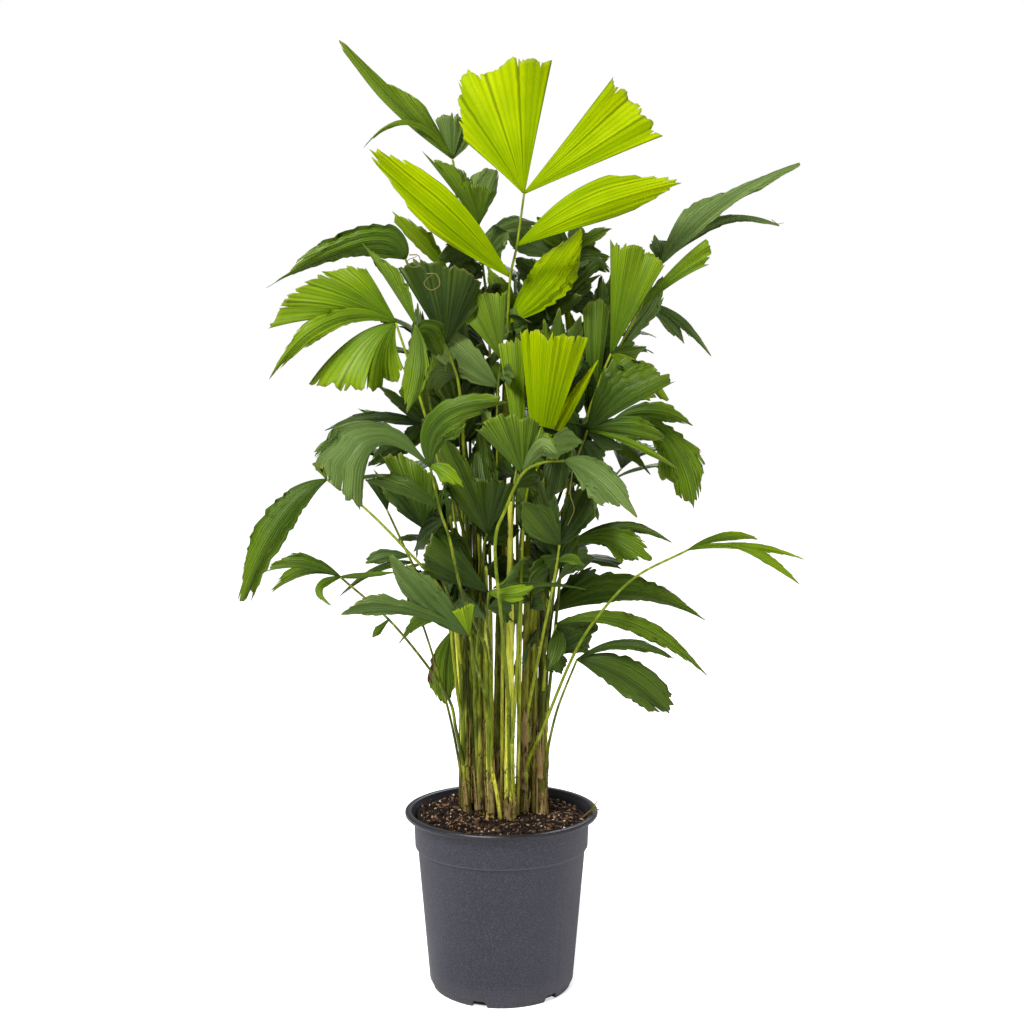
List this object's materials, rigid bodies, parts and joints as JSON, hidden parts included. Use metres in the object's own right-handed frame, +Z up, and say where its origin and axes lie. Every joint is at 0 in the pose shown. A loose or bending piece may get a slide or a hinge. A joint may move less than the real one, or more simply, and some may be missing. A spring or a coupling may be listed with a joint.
{
  "type": "potted fishtail palm",
  "caption": "Clumping fishtail palm in a round tapered nursery pot: slender upright canes and long-stalked fronds whose wedge-shaped, pleated leaflets end in a ragged edge.",
  "frame": {"origin": "centre of the pot's flat underside, at floor level", "axes": "+Z up along the pot's axis, -Y towards the viewer's side of the picture, +X to the viewer's right"},
  "size_m": [0.6847, 0.6073, 1.1728],
  "materials": {
    "cane": "smooth green and brown canes, fibrous at the foot",
    "leaf_deep": "leathery leaf with fine lengthwise pleats",
    "leaf_fresh": "leathery leaf with fine lengthwise pleats",
    "leaf_green": "leathery leaf with fine lengthwise pleats",
    "leaf_grey": "leathery leaf with fine lengthwise pleats",
    "leaf_lime": "leathery leaf with fine lengthwise pleats",
    "pot": "matte charcoal moulded plastic, slightly speckled",
    "soil": "dark brown coarse peat with pale grains"
  },
  "bodies": {
    "root": {"cane_a": "cane", "cane_b": "cane", "cane_c": "cane", "cane_d": "cane", "cane_e": "cane", "cane_f": "cane", "cane_g": "cane", "cane_h": "cane", "cane_k": "cane", "cane_l": "cane", "cane_m": "cane", "frond_arching_left": "leaf_deep", "frond_arching_right": "leaf_green", "frond_back_high_left": "leaf_deep", "frond_back_high_right": "leaf_deep", "frond_back_left": "leaf_deep", "frond_back_low_left": "leaf_deep", "frond_back_low_right": "leaf_deep", "frond_back_middle": "leaf_deep", "frond_back_right": "leaf_deep", "frond_back_top": "leaf_deep", "frond_behind_right": "leaf_deep", "frond_broad_left": "leaf_fresh", "frond_broad_right": "leaf_deep", "frond_centre_right": "leaf_deep", "frond_crossing_left": "leaf_deep", "frond_dark_centre": "leaf_deep", "frond_dark_left": "leaf_deep", "frond_dark_shelf": "leaf_deep", "frond_drooping_right": "leaf_grey", "frond_fan_right": "leaf_fresh", "frond_far_left": "leaf_green", "frond_far_right": "leaf_fresh", "frond_folded_left": "leaf_green", "frond_forked_right": "leaf_green", "frond_front_arch": "leaf_fresh", "frond_front_high": "leaf_deep", "frond_front_left": "leaf_green", "frond_grey_right": "leaf_deep", "frond_hanging_left": "leaf_green", "frond_heart": "leaf_lime", "frond_high_behind": "leaf_green", "frond_inner_left": "leaf_green", "frond_inner_wedge": "leaf_green", "frond_left_fan": "leaf_deep", "frond_lime_left": "leaf_fresh", "frond_little_left": "leaf_deep", "frond_low_left": "leaf_green", "frond_low_right": "leaf_green", "frond_lower_left": "leaf_fresh", "frond_ribbed_right": "leaf_green", "frond_shade_left": "leaf_deep", "frond_shade_right": "leaf_deep", "frond_tip_left": "leaf_green", "frond_top": "leaf_lime", "frond_upper_right": "leaf_deep", "frond_upright_right": "leaf_green", "pot": "pot", "soil": "soil"}
  },
  "joints": []
}
